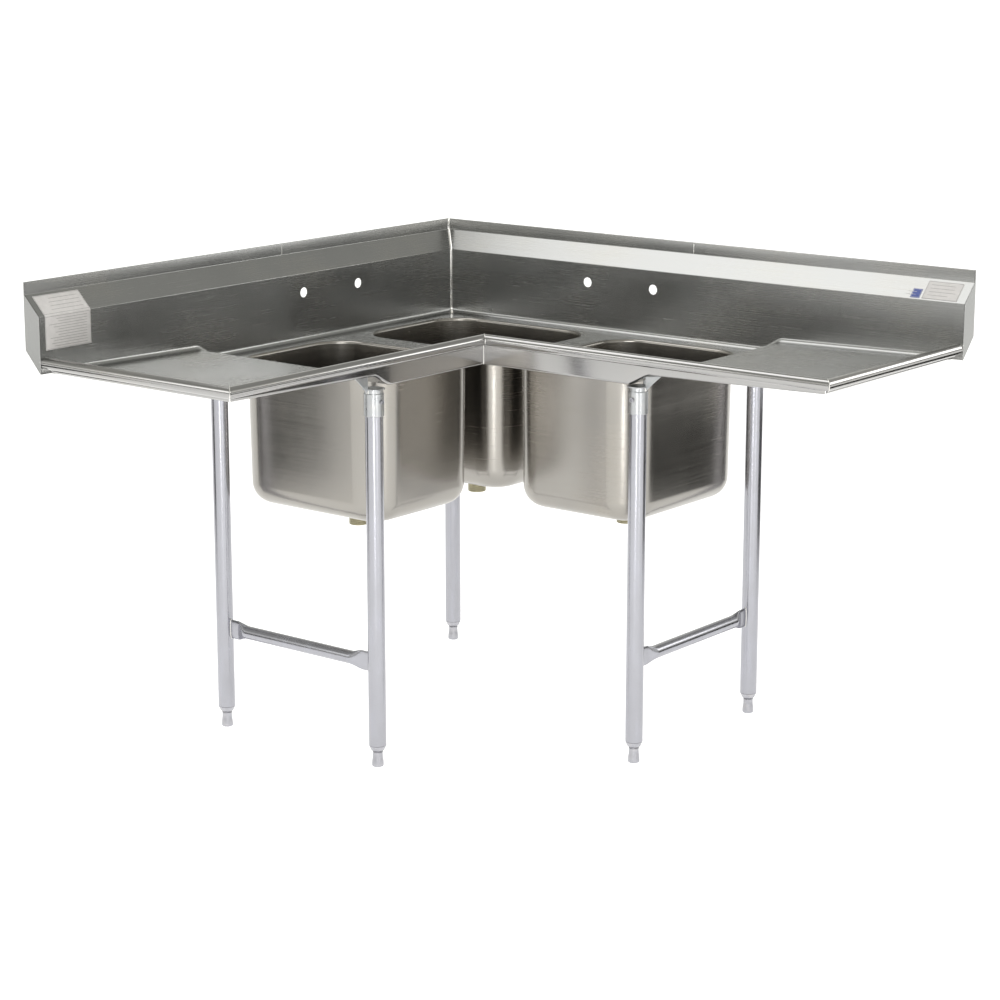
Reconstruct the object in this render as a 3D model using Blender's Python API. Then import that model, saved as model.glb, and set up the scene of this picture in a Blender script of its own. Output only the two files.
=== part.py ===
"""Three compartment corner sink: an L-shaped stainless steel top with two drainboards, on five tube legs.

Units are metres, +Z is up and the floor is z = 0. The origin is on the floor at the middle of the
bounding box. Along each wing, s runs from the wall corner outwards and d runs from the wall to the room.
The right wing runs along +X and the left wing along -Y.
"""

import math

import bmesh
import bpy
from mathutils import Vector

GAP = 0.0003
SHEET = 0.0015

# Bowls
BOWL_LONG = 0.455
BOWL_SHORT = 0.372
BOWL_CORNER_R = 0.085
BOWL_LIP_R = 0.007
BOWL_BOTTOM_R = 0.050
BOWL_TAPER = 0.004
BOWL_DEPTH = 0.350
BOWL_FALL = 0.008
BOWL_SPACING = 0.086
BOWL_BACK = 0.098

# Plan of the top
DEPTH = 0.635
BOWL_END_MARGIN = 0.012
RAMP_LENGTH = 0.056
DRAINBOARD_LENGTH = 0.496
WINGS = ("left", "right")
BOWL_END = {
    "left": BOWL_BACK + BOWL_SHORT + BOWL_SPACING + BOWL_SHORT,
    "right": BOWL_BACK + BOWL_LONG + BOWL_SPACING + BOWL_SHORT,
}
DECK_END = {wing: end + BOWL_END_MARGIN for wing, end in BOWL_END.items()}
RAMP_END = {wing: end + RAMP_LENGTH for wing, end in DECK_END.items()}
LENGTH = {wing: end + DRAINBOARD_LENGTH for wing, end in RAMP_END.items()}

# Heights
DECK_Z = 0.900
RAMP_RISE = 0.027
PITCH_RISE = 0.012
RIM_Z = 0.975
SPLASH_Z = 1.1415
UPTURN = 0.029

# Rolled rim
ROLL_R = 0.0135
RISER = 2 * ROLL_R + 0.0005
ROLL_SWEEP = math.radians(245)
RIM_LIP = 0.002

# Splash
SPLASH_DEPTH = 0.048
HEM = 0.003
SLOPE_Z = SPLASH_Z - UPTURN - (SPLASH_DEPTH - HEM)
COVE_R = 0.012
COVE_END_R = 0.0008
CAP_FRONT_Z = 0.935
CAP_BACK_Z = 0.987
FAUCET_HOLE_R = 0.0125
FAUCET_Z = 1.020
FAUCET_CENTERS = 0.2032
FAUCET_FIRST = {"left": 0.420, "right": 0.498}

# Legs
LEG_R = 0.041275 / 2
LEG_WALL = 0.0015
LEG_BOTTOM = 0.052
LEG_TOP = 0.8925
LEG_LINE = {"left": 0.992, "right": 1.050}
LEG_REAR = 0.110
LEG_FRONT = 0.598
LEG_CORNER = 0.060
COLLAR_Z = 0.040
FOOT_R = 0.0125
FOOT_TIP_R = 0.0138
FOOT_TIP_HEIGHT = 0.011
FOOT_TOP = 0.080
PLUG_TOP = 0.085
SLEEVE_R = 0.023
SLEEVE_BOTTOM = 0.834
SCREW_Z = 0.868
SCREW_R = 0.0030
SCREW_HOLE_R = 0.0036
SCREW_HEAD_R = 0.0056
SCREW_HEAD = 0.004
PLATE = 0.003
PLATE_HALF = 0.029
WEB_REACH = 0.085
WEB_BOTTOM = 0.858
WEB_TIP = 0.008
RAIL_Z = 0.250
RAIL_R = 0.015875
RAIL_WALL = 0.0014
TONGUE = (0.0022, 0.0235)
TONGUE_LENGTH = 0.028
TONGUE_TAPER = 0.050

# Drains
RECESS_EDGE_R = 0.048
RECESS_R = 0.043
RECESS_DROP = 0.0045
HOLE_R = 0.0245
FLANGE_R = 0.038
FLANGE_HEIGHT = 0.003
SEAT_R = 0.030
LEDGE_R = 0.0215
BORE_R = 0.020
TAIL_R = 0.023
DRAIN_BOTTOM = 0.494
WASHER_R = 0.036
WASHER = 0.0015
RING_R = 0.034
NUT_R = 0.033
NUT_HEIGHT = 0.011
THREAD = 0.016

# Blank foils on the splash
FOIL = 0.0004
FOIL_UP = 0.056
FOIL_DOWN = 0.078
FOIL_EDGE = 0.004

TURN_SIDES = 24
RING_TURN = math.radians(5)

BOWLS = {
    "corner": (BOWL_BACK + BOWL_LONG / 2, BOWL_BACK + BOWL_SHORT / 2, BOWL_LONG, BOWL_SHORT),
    "left": (BOWL_BACK + BOWL_LONG / 2, BOWL_END["left"] - BOWL_SHORT / 2, BOWL_LONG, BOWL_SHORT),
    "right": (BOWL_END["right"] - BOWL_SHORT / 2, BOWL_BACK + BOWL_LONG / 2, BOWL_SHORT, BOWL_LONG),
}
LEGS = {
    "left_rear": ("left", LEG_LINE["left"], LEG_REAR),
    "left_front": ("left", LEG_LINE["left"], LEG_FRONT),
    "corner": ("right", LEG_CORNER, LEG_CORNER),
    "right_front": ("right", LEG_LINE["right"], LEG_FRONT),
    "right_rear": ("right", LEG_LINE["right"], LEG_REAR),
}
MATERIALS = {
    "stainless": ((0.60, 0.59, 0.56), 1.0, 0.32),
    "bowl_steel": ((0.56, 0.54, 0.50), 1.0, 0.28),
    "galvanized": ((0.60, 0.64, 0.70), 0.9, 0.38),
    "foot_steel": ((0.52, 0.55, 0.58), 0.9, 0.45),
    "brass": ((0.72, 0.60, 0.34), 1.0, 0.35),
    "black_rubber": ((0.03, 0.03, 0.03), 0.0, 0.7),
    "fibre": ((0.45, 0.30, 0.18), 0.0, 0.8),
    "label_foil": ((0.78, 0.77, 0.74), 0.4, 0.4),
    "blue_foil": ((0.16, 0.22, 0.48), 0.2, 0.4),
}


def clear_scene():
    for obj in list(bpy.data.objects):
        bpy.data.objects.remove(obj, do_unlink=True)


def material(name):
    """The sub-part's material, made on first use."""
    found = bpy.data.materials.get(name)
    if found:
        return found
    color, metallic, roughness = MATERIALS[name]
    made = bpy.data.materials.new(name)
    made.use_nodes = True
    shader = made.node_tree.nodes["Principled BSDF"]
    shader.inputs["Base Color"].default_value = (*color, 1.0)
    shader.inputs["Metallic"].default_value = metallic
    shader.inputs["Roughness"].default_value = roughness
    return made


def from_corner(x, y, z):
    """World position of a point given by its distances from the left wall and the right wall."""
    return Vector((x - LENGTH["right"] / 2, LENGTH["left"] / 2 - y, z))


def on_wing(wing, s, d, z):
    return from_corner(s, d, z) if wing == "right" else from_corner(d, s, z)


def deck_height(wing, s):
    """Top of the deck: level round the bowls, then a short ramp, then a drainboard pitched to the bowls."""
    if s <= DECK_END[wing]:
        return DECK_Z
    if s <= RAMP_END[wing]:
        return DECK_Z + RAMP_RISE * (s - DECK_END[wing]) / RAMP_LENGTH
    return DECK_Z + RAMP_RISE + PITCH_RISE * (s - RAMP_END[wing]) / DRAINBOARD_LENGTH


def make(name, bm, finish, origin=(0.0, 0.0, 0.0)):
    """Turns a bmesh in world space into an object whose origin is at the given point."""
    bmesh.ops.recalc_face_normals(bm, faces=bm.faces)
    bmesh.ops.translate(bm, verts=bm.verts, vec=-Vector(origin))
    mesh = bpy.data.meshes.new(name)
    bm.to_mesh(mesh)
    bm.free()
    mesh.shade_smooth()
    mesh.set_sharp_from_angle(angle=math.radians(35))
    obj = bpy.data.objects.new(name, mesh)
    obj.location = origin
    bpy.context.collection.objects.link(obj)
    if finish:
        mesh.materials.append(material(finish))
    return obj


def loft(rings, closed=False):
    """Skins closed rings of points in order. The end rings are capped unless the skin closes on itself."""
    bm = bmesh.new()
    made = [[bm.verts.new(point) for point in ring] for ring in rings]
    pairs = list(zip(made, made[1:]))
    if closed:
        pairs.append((made[-1], made[0]))
    for first, second in pairs:
        for i in range(len(first)):
            j = (i + 1) % len(first)
            bm.faces.new((first[i], first[j], second[j], second[i]))
    if not closed:
        bm.faces.new(made[0])
        bm.faces.new(made[-1])
    return bm


def circle(center, radius, z, turn=0.0):
    points = []
    for i in range(TURN_SIDES):
        a = 2 * math.pi * i / TURN_SIDES + turn
        points.append((center[0] + radius * math.cos(a), center[1] + radius * math.sin(a), z))
    return points


def turned(profile, center, turn=0.0):
    """Turns a closed outline of (radius, z) points about a vertical axis, its facets starting at an angle."""
    return loft([circle(center, radius, z, turn) for radius, z in profile], closed=True)


def turned_solid(profile, center):
    """Turns an open outline of (radius, z) points and closes both its ends with discs."""
    return loft([circle(center, radius, z) for radius, z in profile])


def block(corner_a, corner_b):
    """A box between two world corners."""
    low = [min(pair) for pair in zip(corner_a, corner_b)]
    high = [max(pair) for pair in zip(corner_a, corner_b)]
    plan = ((low[0], low[1]), (high[0], low[1]), (high[0], high[1]), (low[0], high[1]))
    return loft([[(x, y, z) for x, y in plan] for z in (low[2], high[2])])


def rounded_rect(cx, cy, long, wide, radius, steps=6):
    """Points (x, y) of a rectangle with round corners, anticlockwise, with steps + 1 points on each corner."""
    points = []
    signs = ((1, 1), (-1, 1), (-1, -1), (1, -1))
    for quarter, (sign_x, sign_y) in enumerate(signs):
        corner_x = cx + sign_x * (long / 2 - radius)
        corner_y = cy + sign_y * (wide / 2 - radius)
        for step in range(steps + 1):
            angle = math.pi / 2 * (quarter + step / steps)
            points.append((corner_x + radius * math.cos(angle), corner_y + radius * math.sin(angle)))
    return points


def helper(obj):
    obj.hide_render = True
    obj.display_type = "WIRE"
    return obj


def across_wing(wing, s, d, z, sections):
    """A turned shape of (radius, reach) sections whose axis runs along d, from the point (s, d, z)."""
    rings = []
    for radius, reach in sections:
        ring = []
        for i in range(TURN_SIDES):
            a = 2 * math.pi * i / TURN_SIDES
            ring.append(on_wing(wing, s + radius * math.cos(a), d + reach, z + radius * math.sin(a)))
        rings.append(ring)
    return loft(rings)


def boolean(obj, other, operation):
    modifier = obj.modifiers.new(operation.title(), "BOOLEAN")
    modifier.operation = operation
    modifier.object = helper(other)
    modifier.solver = "EXACT"


# Top: splash, end caps, deck, drainboards and rolled rims


def splash_outline(wing, s, cove):
    """(d, z) outline of the folded splash sheet: room side from the cove up, then wall side back down."""
    foot = deck_height(wing, s)
    steps = 5
    angles = [math.pi / 2 * i / steps for i in range(steps + 1)]
    room = [
        (SPLASH_DEPTH + cove * (1 - math.sin(a)), foot + cove * (1 - math.cos(a)))
        for a in angles
    ]
    outer = cove + SHEET
    wall = [
        (SPLASH_DEPTH + cove - outer * math.sin(a), foot + cove - outer * math.cos(a))
        for a in reversed(angles)
    ]
    bend = SHEET * math.tan(math.radians(22.5))
    room += [(SPLASH_DEPTH, SLOPE_Z), (HEM, SPLASH_Z - UPTURN), (HEM, SPLASH_Z)]
    top = [(0.0, SPLASH_Z), (0.0, SPLASH_Z - UPTURN - SHEET), (SPLASH_DEPTH - SHEET, SLOPE_Z - bend)]
    return room + top + wall


def make_splash(wing):
    length = LENGTH[wing]
    rim_start = length - RISER - 2 * GAP
    stations = (
        (DECK_END[wing], COVE_R),
        (RAMP_END[wing], COVE_R),
        (rim_start - SHEET, COVE_R),
        (rim_start, COVE_END_R),
        (length - SHEET - GAP, COVE_END_R),
    )
    rings = [[on_wing(wing, d + GAP, d, z) for d, z in splash_outline(wing, 0.0, COVE_R)]]
    for s, cove in stations:
        rings.append([on_wing(wing, s, d, z) for d, z in splash_outline(wing, s, cove)])
    splash = make(f"splash_{wing}", loft(rings), "stainless")
    for number in range(2):
        s = FAUCET_FIRST[wing] + number * FAUCET_CENTERS
        ends = ((FAUCET_HOLE_R, 0.02), (FAUCET_HOLE_R, 0.07))
        hole = across_wing(wing, s, 0.0, FAUCET_Z, ends)
        boolean(splash, make(f"cut_{wing}_faucet_{number + 1}", hole, None), "DIFFERENCE")
    return splash


def make_end_cap(wing):
    outline = (
        (0.0, SPLASH_Z),
        (HEM, SPLASH_Z),
        (HEM, SPLASH_Z - UPTURN),
        (SPLASH_DEPTH, SLOPE_Z),
        (SPLASH_DEPTH, CAP_FRONT_Z),
        (0.0, CAP_BACK_Z),
    )
    stations = (LENGTH[wing] - SHEET, LENGTH[wing])
    faces = [[on_wing(wing, s, d, z) for d, z in outline] for s in stations]
    return make(f"end_cap_{wing}", loft(faces), "stainless")


def bowl_ring(bowl, offset, z):
    x, y, size_x, size_y = BOWLS[bowl]
    outline = rounded_rect(x, y, size_x + 2 * offset, size_y + 2 * offset, BOWL_CORNER_R + offset)
    return [from_corner(px, py, z) for px, py in outline]


def make_bowl_deck():
    back = SPLASH_DEPTH + COVE_R + GAP
    front = DEPTH - RISER - GAP
    plan = (
        (back, back),
        (DECK_END["right"] - GAP, back),
        (DECK_END["right"] - GAP, front),
        (front, front),
        (front, DECK_END["left"] - GAP),
        (back, DECK_END["left"] - GAP),
    )
    faces = [[from_corner(x, y, z) for x, y in plan] for z in (DECK_Z - SHEET, DECK_Z)]
    deck = make("bowl_deck", loft(faces), "stainless")
    for bowl in BOWLS:
        rings = [bowl_ring(bowl, BOWL_LIP_R + GAP, DECK_Z + z) for z in (-0.02, 0.02)]
        boolean(deck, make(f"cut_{bowl}_opening", loft(rings), None), "DIFFERENCE")
    return deck


def make_drainboard(wing):
    start = DECK_END[wing]
    end = LENGTH[wing] - RISER - GAP
    stops = (start, RAMP_END[wing], end)
    top = [(s, deck_height(wing, s)) for s in stops]
    under = [(s, z - SHEET) for s, z in reversed(top)]
    rings = []
    for d in (SPLASH_DEPTH + COVE_R + GAP, DEPTH - RISER - GAP):
        rings.append([on_wing(wing, s, d, z) for s, z in top + under])
    return make(f"drainboard_{wing}", loft(rings), "stainless")


def rim_outline(bottom):
    """(q, z) outline of the rim, q inwards from its outer face: riser, then a roll that curls back under."""
    steps = 9
    middle = RISER - ROLL_R
    center_z = RIM_Z - ROLL_R
    angles = [ROLL_SWEEP * i / steps for i in range(steps + 1)]
    outside = [(middle + ROLL_R * math.cos(a), center_z + ROLL_R * math.sin(a)) for a in angles]
    thin = ROLL_R - SHEET
    inside = [(middle + thin * math.cos(a), center_z + thin * math.sin(a)) for a in reversed(angles)]
    return [(RISER, bottom)] + outside + inside + [(RISER - SHEET, bottom)]


def make_front_rim(wing):
    length = LENGTH[wing]
    rings = []
    bottom = deck_height(wing, 0.0) - RIM_LIP
    rings.append([on_wing(wing, DEPTH - q + GAP, DEPTH - q, z) for q, z in rim_outline(bottom)])
    for s in (DECK_END[wing], RAMP_END[wing]):
        bottom = deck_height(wing, s) - RIM_LIP
        rings.append([on_wing(wing, s, DEPTH - q, z) for q, z in rim_outline(bottom)])
    bottom = deck_height(wing, length) - RIM_LIP
    rings.append([on_wing(wing, length - q - GAP, DEPTH - q, z) for q, z in rim_outline(bottom)])
    return make(f"rim_front_{wing}", loft(rings), "stainless")


def make_end_rim(wing):
    length = LENGTH[wing]
    outline = rim_outline(deck_height(wing, length) - RIM_LIP)
    start = SPLASH_DEPTH + COVE_END_R + GAP
    rings = [
        [on_wing(wing, length - q, start, z) for q, z in outline],
        [on_wing(wing, length - q, DEPTH - q - GAP, z) for q, z in outline],
    ]
    return make(f"rim_end_{wing}", loft(rings), "stainless")


# Bowls and drains


def drain_levels():
    """Heights at the drain: the floor round the recess, and the recess itself."""
    floor = DECK_Z - BOWL_DEPTH - BOWL_FALL
    return floor, floor - RECESS_DROP


def make_bowl(bowl):
    """A drawn pan: lip, wall, round bottom edge and a floor that falls to a recess round the drain hole."""
    floor_z = DECK_Z - BOWL_DEPTH
    floor, recess = drain_levels()
    steps = 3
    sections = []
    for i in range(steps + 1):
        a = math.pi / 2 * i / steps
        offset = BOWL_LIP_R * (1 - math.sin(a))
        sections.append((offset, DECK_Z - BOWL_LIP_R * (1 - math.cos(a)), math.sin(a), -math.cos(a)))
    for i in range(steps + 2):
        a = math.pi / 2 * i / (steps + 1)
        offset = -BOWL_TAPER - BOWL_BOTTOM_R * (1 - math.cos(a))
        sections.append((offset, floor_z + BOWL_BOTTOM_R * (1 - math.sin(a)), math.cos(a), -math.sin(a)))
    inside = [bowl_ring(bowl, offset, z) for offset, z, _, _ in sections]
    outside = [bowl_ring(bowl, o + SHEET * no, z + SHEET * nz) for o, z, no, nz in sections]
    x, y, _, _ = BOWLS[bowl]
    for radius, z in ((RECESS_EDGE_R, floor), (RECESS_R, recess), (HOLE_R, recess)):
        ring = rounded_rect(x, y, 2 * radius, 2 * radius, radius)
        inside.append([from_corner(px, py, z) for px, py in ring])
        radius = radius if radius == HOLE_R else radius + SHEET
        ring = rounded_rect(x, y, 2 * radius, 2 * radius, radius)
        outside.append([from_corner(px, py, z - SHEET) for px, py in ring])
    return make(f"bowl_{bowl}", loft(inside + outside[::-1], closed=True), "bowl_steel")


def make_drain(bowl):
    """A drain that clamps the recess between a flange above and a washer and locknut below."""
    x, y, _, _ = BOWLS[bowl]
    center = from_corner(x, y, 0.0)
    recess = drain_levels()[1]
    low = recess + GAP
    flange = low + WASHER + GAP
    under = recess - SHEET - GAP
    rubber = ((HOLE_R, low), (WASHER_R, low), (WASHER_R, low + WASHER), (HOLE_R, low + WASHER))
    make(f"drain_washer_{bowl}", turned(rubber, center, RING_TURN), "black_rubber", center)
    body = (
        (FLANGE_R, flange),
        (FLANGE_R, flange + FLANGE_HEIGHT / 2),
        (FLANGE_R - 0.002, flange + FLANGE_HEIGHT),
        (SEAT_R + 0.0025, flange + FLANGE_HEIGHT),
        (SEAT_R, flange + 0.001),
        (LEDGE_R, flange + 0.001),
        (BORE_R, flange - 0.006),
        (BORE_R, DRAIN_BOTTOM),
        (TAIL_R, DRAIN_BOTTOM),
        (TAIL_R, flange),
    )
    make(f"drain_body_{bowl}", turned(body, center), "brass", center)
    ring = ((HOLE_R, under - WASHER), (RING_R, under - WASHER), (RING_R, under), (HOLE_R, under))
    make(f"drain_friction_ring_{bowl}", turned(ring, center, RING_TURN), "fibre", center)
    top = under - WASHER - GAP
    bottom = top - NUT_HEIGHT
    nut = ((HOLE_R, bottom), (NUT_R, bottom), (NUT_R, top), (HOLE_R, top))
    make(f"drain_locknut_{bowl}", turned(nut, center, RING_TURN), "brass", center)
    make_strainer(bowl, center, flange + 0.001 + 2 * GAP)


def make_strainer(bowl, center, seat):
    """Lift-out crumb cup: a rim that rests on the drain's ledge, a thin cup and a pull knob."""
    cup = (
        (0.0175, seat - 0.0145),
        (0.0190, seat - 0.0005),
        (0.0292, seat + 0.0003),
        (0.0298, seat + 0.0012),
        (0.0182, seat + 0.0006),
        (0.0166, seat - 0.0133),
        (0.0040, seat - 0.0133),
        (0.0030, seat + 0.0010),
        (0.0052, seat + 0.0040),
        (0.0040, seat + 0.0066),
    )
    make(f"strainer_{bowl}", turned_solid(cup, center), "stainless", center)


# Legs, gussets, feet and rails


def make_leg(name, wing, s, d):
    """A tube leg, the threaded plug in its lower end and the screw-in foot."""
    center = on_wing(wing, s, d, 0.0)
    bore = LEG_R - LEG_WALL
    tube = ((bore, LEG_BOTTOM), (LEG_R, LEG_BOTTOM), (LEG_R, LEG_TOP), (bore, LEG_TOP))
    make(f"leg_{name}", turned(tube, center), "galvanized", center)
    plug_r = bore - GAP
    collar_top = LEG_BOTTOM - GAP
    hole = FOOT_R + 2 * GAP
    plug = (
        (hole, COLLAR_Z),
        (FOOT_R + 0.003, COLLAR_Z),
        (LEG_R - 0.0005, collar_top),
        (plug_r, collar_top),
        (plug_r, PLUG_TOP),
        (hole, PLUG_TOP),
    )
    make(f"leg_plug_{name}", turned(plug, center), "foot_steel", center)
    foot = (
        (0.0105, 0.0),
        (FOOT_TIP_R, 0.003),
        (FOOT_TIP_R, FOOT_TIP_HEIGHT),
        (FOOT_R, FOOT_TIP_HEIGHT + 0.003),
        (FOOT_R, FOOT_TOP),
    )
    make(f"foot_{name}", turned_solid(foot, center), "foot_steel", center)


def web(wing, outline, cross, along_s):
    """A flat web of (reach, z) points, thick to each side of its plane at cross."""
    faces = []
    for c in (cross - PLATE / 2, cross + PLATE / 2):
        if along_s:
            faces.append([on_wing(wing, reach, c, z) for reach, z in outline])
        else:
            faces.append([on_wing(wing, c, reach, z) for reach, z in outline])
    return loft(faces)


def web_outline(near, far, near_top, far_top):
    """Wide at the sleeve and narrow at its tip under the top."""
    return ((near, near_top), (far, far_top), (far, far_top - WEB_TIP), (near, WEB_BOTTOM))


def underside(wing, s):
    return deck_height(wing, s) - SHEET - GAP


def make_gusset(name, wing, s, d):
    """Leg socket: a sleeve under a cap plate, with two webs welded to the underside of the top."""
    center = on_wing(wing, s, d, 0.0)
    plate_top = DECK_Z - RIM_LIP - GAP
    bottom = plate_top - PLATE
    sleeve_top = bottom + 0.001
    bore = LEG_R + GAP
    sleeve = ((bore, SLEEVE_BOTTOM), (SLEEVE_R, SLEEVE_BOTTOM), (SLEEVE_R, sleeve_top), (bore, sleeve_top))
    socket = make(f"gusset_{name}", turned(sleeve, center), "stainless", center)
    low = on_wing(wing, s - PLATE_HALF, d - PLATE_HALF, bottom)
    high = on_wing(wing, s + PLATE_HALF, d + PLATE_HALF, plate_top)
    boolean(socket, make(f"add_{name}_plate", block(low, high), None), "UNION")
    if name != "corner":
        start = SLEEVE_R - 0.001
        near = s + start
        far = s + WEB_REACH
        outline = web_outline(near, far, underside(wing, near), underside(wing, far))
        long_web = make(f"add_{name}_long_web", web(wing, outline, d, True), None)
        boolean(socket, long_web, "UNION")
        side = -1 if d == LEG_FRONT else 1
        top = underside(wing, s - PLATE)
        outline = web_outline(d + side * start, d + side * WEB_REACH, top, top)
        cross_web = make(f"add_{name}_cross_web", web(wing, outline, s, False), None)
        boolean(socket, cross_web, "UNION")
    facing = 1 if d == LEG_FRONT else -1
    hole = across_wing(wing, s, d, SCREW_Z, ((SCREW_HOLE_R, 0.0), (SCREW_HOLE_R, facing * 0.030)))
    boolean(socket, make(f"cut_{name}_screw", hole, None), "DIFFERENCE")
    tip = facing * (LEG_R + GAP)
    seat = facing * (SLEEVE_R + GAP)
    crown = facing * (SLEEVE_R + SCREW_HEAD)
    screw = ((SCREW_R, tip), (SCREW_R, seat), (SCREW_HEAD_R, seat), (SCREW_HEAD_R, crown))
    make(f"set_screw_{name}", across_wing(wing, s, d, SCREW_Z, screw), "foot_steel")


def make_rail(wing):
    """Cross rail between a wing's two legs: a tube flattened to a tongue at each end."""
    start = LEG_REAR + LEG_R + GAP
    end = LEG_FRONT - LEG_R - GAP
    round_size = (RAIL_R, RAIL_R)
    stations = (
        (start, TONGUE),
        (start + TONGUE_LENGTH, TONGUE),
        (start + TONGUE_TAPER, round_size),
        (end - TONGUE_TAPER, round_size),
        (end - TONGUE_LENGTH, TONGUE),
        (end, TONGUE),
    )
    outer = [rail_ring(wing, d, *size, 0.0) for d, size in stations]
    inner = [rail_ring(wing, d, *size, RAIL_WALL) for d, size in reversed(stations)]
    return make(f"rail_{wing}", loft(outer + inner, closed=True), "galvanized")


def rail_ring(wing, d, half_s, half_z, inset):
    ring = []
    for i in range(TURN_SIDES):
        a = 2 * math.pi * i / TURN_SIDES
        s = LEG_LINE[wing] + (half_s - inset) * math.cos(a)
        ring.append(on_wing(wing, s, d, RAIL_Z + (half_z - inset) * math.sin(a)))
    return ring


# Blank foils on the splash


def slope_point(along, lift):
    """(d, z) on the splash's slope, along it from its lower edge, lifted off it."""
    step = math.sqrt(0.5)
    return SPLASH_DEPTH - along * step + lift * step, SLOPE_Z + along * step + lift * step


def slope_foil(name, wing, s_range, top, finish):
    """A foil on the slope alone."""
    near = [slope_point(top, GAP), slope_point(FOIL_EDGE, GAP)]
    far = [slope_point(FOIL_EDGE, GAP + FOIL), slope_point(top, GAP + FOIL)]
    rings = [[on_wing(wing, s, d, z) for d, z in near + far] for s in s_range]
    return make(name, loft(rings), finish)


def folded_foil(name, wing, s_range, finish):
    """A foil that lies on the slope and folds down over the face."""
    face = SPLASH_DEPTH + GAP
    low = SLOPE_Z - FOIL_DOWN
    near = [slope_point(FOIL_UP, GAP), slope_point(0.0005, GAP), (face, SLOPE_Z), (face, low)]
    far = [(face + FOIL, low), (face + FOIL, SLOPE_Z)]
    far += [slope_point(0.0005, GAP + FOIL), slope_point(FOIL_UP, GAP + FOIL)]
    rings = [[on_wing(wing, s, d, z) for d, z in near + far] for s in s_range]
    return make(name, loft(rings), finish)


def main():
    clear_scene()
    for wing in WINGS:
        make_splash(wing)
        make_end_cap(wing)
        make_drainboard(wing)
        make_front_rim(wing)
        make_end_rim(wing)
        make_rail(wing)
    make_bowl_deck()
    for bowl in BOWLS:
        make_bowl(bowl)
        make_drain(bowl)
    for name, place in LEGS.items():
        make_leg(name, *place)
        make_gusset(name, *place)
    left = LENGTH["left"]
    right = LENGTH["right"]
    folded_foil("label_left", "left", (left - 0.155, left - 0.018), "label_foil")
    slope_foil("label_right", "right", (right - 0.116, right - 0.024), FOIL_UP, "label_foil")
    slope_foil("sticker_right", "right", (right - 0.146, right - 0.122), 0.030, "blue_foil")


main()
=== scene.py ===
"""The looks of a three compartment corner sink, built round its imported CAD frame.

Along each wing, s runs from the wall corner outwards and d runs from the wall to the room. The right wing
runs along +X and the left wing along -Y. Places come from the CAD nodes' boxes, in metres.
"""

import math
import random

import bpy
import bmesh
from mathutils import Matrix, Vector


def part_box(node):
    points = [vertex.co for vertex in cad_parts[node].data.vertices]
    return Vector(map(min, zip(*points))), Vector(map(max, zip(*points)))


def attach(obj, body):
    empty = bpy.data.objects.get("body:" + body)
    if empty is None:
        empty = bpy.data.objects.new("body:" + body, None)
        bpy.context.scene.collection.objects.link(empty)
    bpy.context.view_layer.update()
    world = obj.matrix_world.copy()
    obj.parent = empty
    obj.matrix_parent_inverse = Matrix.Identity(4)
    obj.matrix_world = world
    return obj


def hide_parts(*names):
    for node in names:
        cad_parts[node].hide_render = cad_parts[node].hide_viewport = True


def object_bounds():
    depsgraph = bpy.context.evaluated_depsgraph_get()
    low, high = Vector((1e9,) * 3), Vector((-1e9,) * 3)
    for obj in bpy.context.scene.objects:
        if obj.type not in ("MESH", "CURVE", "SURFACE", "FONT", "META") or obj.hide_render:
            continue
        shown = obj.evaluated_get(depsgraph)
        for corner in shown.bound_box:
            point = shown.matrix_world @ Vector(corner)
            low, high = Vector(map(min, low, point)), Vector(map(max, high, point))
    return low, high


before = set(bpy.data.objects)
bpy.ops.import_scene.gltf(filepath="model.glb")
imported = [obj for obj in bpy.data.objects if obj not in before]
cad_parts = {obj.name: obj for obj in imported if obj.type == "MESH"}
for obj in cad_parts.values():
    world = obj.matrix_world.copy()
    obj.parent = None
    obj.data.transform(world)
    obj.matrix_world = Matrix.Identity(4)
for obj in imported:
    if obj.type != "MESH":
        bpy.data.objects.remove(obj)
CAD_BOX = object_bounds()
LOW, HIGH = CAD_BOX

WINGS = ("left", "right")
BOWLS = ("corner", "left", "right")
LEGS = ("left_rear", "left_front", "corner", "right_front", "right_rear")
ROOT = "sink"

SHEET = 0.0015
GAP = 0.0003
SHARP_ANGLE = 32
BEND_STEPS = 6

# Driving sizes, read from the frame where a node's box gives them
LENGTH = {"right": HIGH.x - LOW.x, "left": HIGH.y - LOW.y}
DECK_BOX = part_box("bowl_deck")
DECK_Z = DECK_BOX[1].z
DECK_END = {"right": DECK_BOX[1].x - LOW.x + GAP, "left": HIGH.y - DECK_BOX[0].y + GAP}
DEPTH = HIGH.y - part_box("rim_front_right")[0].y
RIM_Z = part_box("rim_end_right")[1].z
SPLASH_Z = HIGH.z
RAMP_LENGTH = 0.056
RAMP_RISE = 0.027
DRAIN_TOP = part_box("drainboard_right")[1].z
ROLL_R = 0.0135
RISER = 0.0275
ROLL_SWEEP = math.radians(245)
SPLASH_DEPTH = 0.048
HEM = 0.003
UPTURN = 0.029
SLOPE_Z = SPLASH_Z - UPTURN - (SPLASH_DEPTH - HEM)
COVE_R = 0.012
FRONT_COVE_R = 0.005
BEND_R = 0.0022
BEND_HALF = 0.009
END_CAP_CUT = 0.052
UPTURN_MARKS = {"left": 0.652, "right": 0.792}
BOWL_CORNER_R = 0.085
BOWL_LIP_R = 0.007
BOWL_BOTTOM_R = 0.050
BOWL_TAPER = 0.004
BOWL_DEPTH = 0.350
PAN_WALL = SHEET * 0.85
RECESS_EDGE_R = 0.048
RECESS_FALL = 0.0045
FAUCET_Z = 1.020
FAUCET_R = 0.0125
FAUCETS = {"left": (0.420, 0.6232), "right": (0.498, 0.7012)}


def from_corner(x, y, z):
    return Vector((LOW.x + x, HIGH.y - y, z))


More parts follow.
